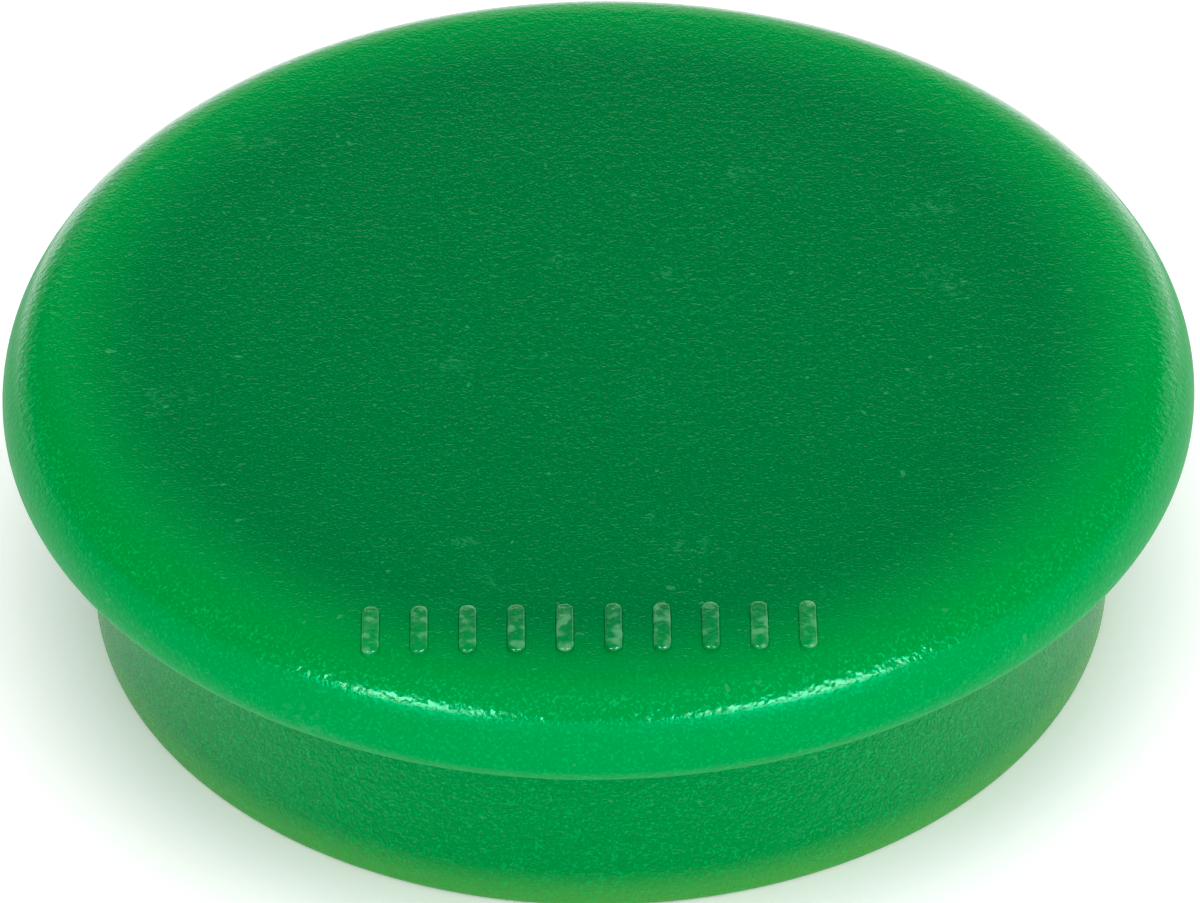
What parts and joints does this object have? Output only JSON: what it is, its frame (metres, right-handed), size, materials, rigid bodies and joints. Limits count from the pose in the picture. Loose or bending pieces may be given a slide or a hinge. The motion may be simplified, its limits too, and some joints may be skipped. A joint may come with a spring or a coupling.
{
  "type": "round plastic board magnet",
  "caption": "Round office magnet: a moulded plastic cap with a wide rounded lid and a narrower skirt, holding a ferrite disc glued inside that grips a steel board.",
  "frame": {"origin": "middle of the plane that rests on the board, on the cap's own axis", "axes": "+Z points away from the board, through the middle of the lid; -Y is the edge of the lid with the raised grip marks; +X to the right when the marks are nearest"},
  "size_m": [0.032, 0.032, 0.0086],
  "materials": {
    "cap_plastic": "satin",
    "ferrite": "matte",
    "adhesive": "gloss"
  },
  "bodies": {
    "root": {"cap": "cap_plastic", "ferrite_magnet": "ferrite", "adhesive": "adhesive"}
  },
  "joints": []
}
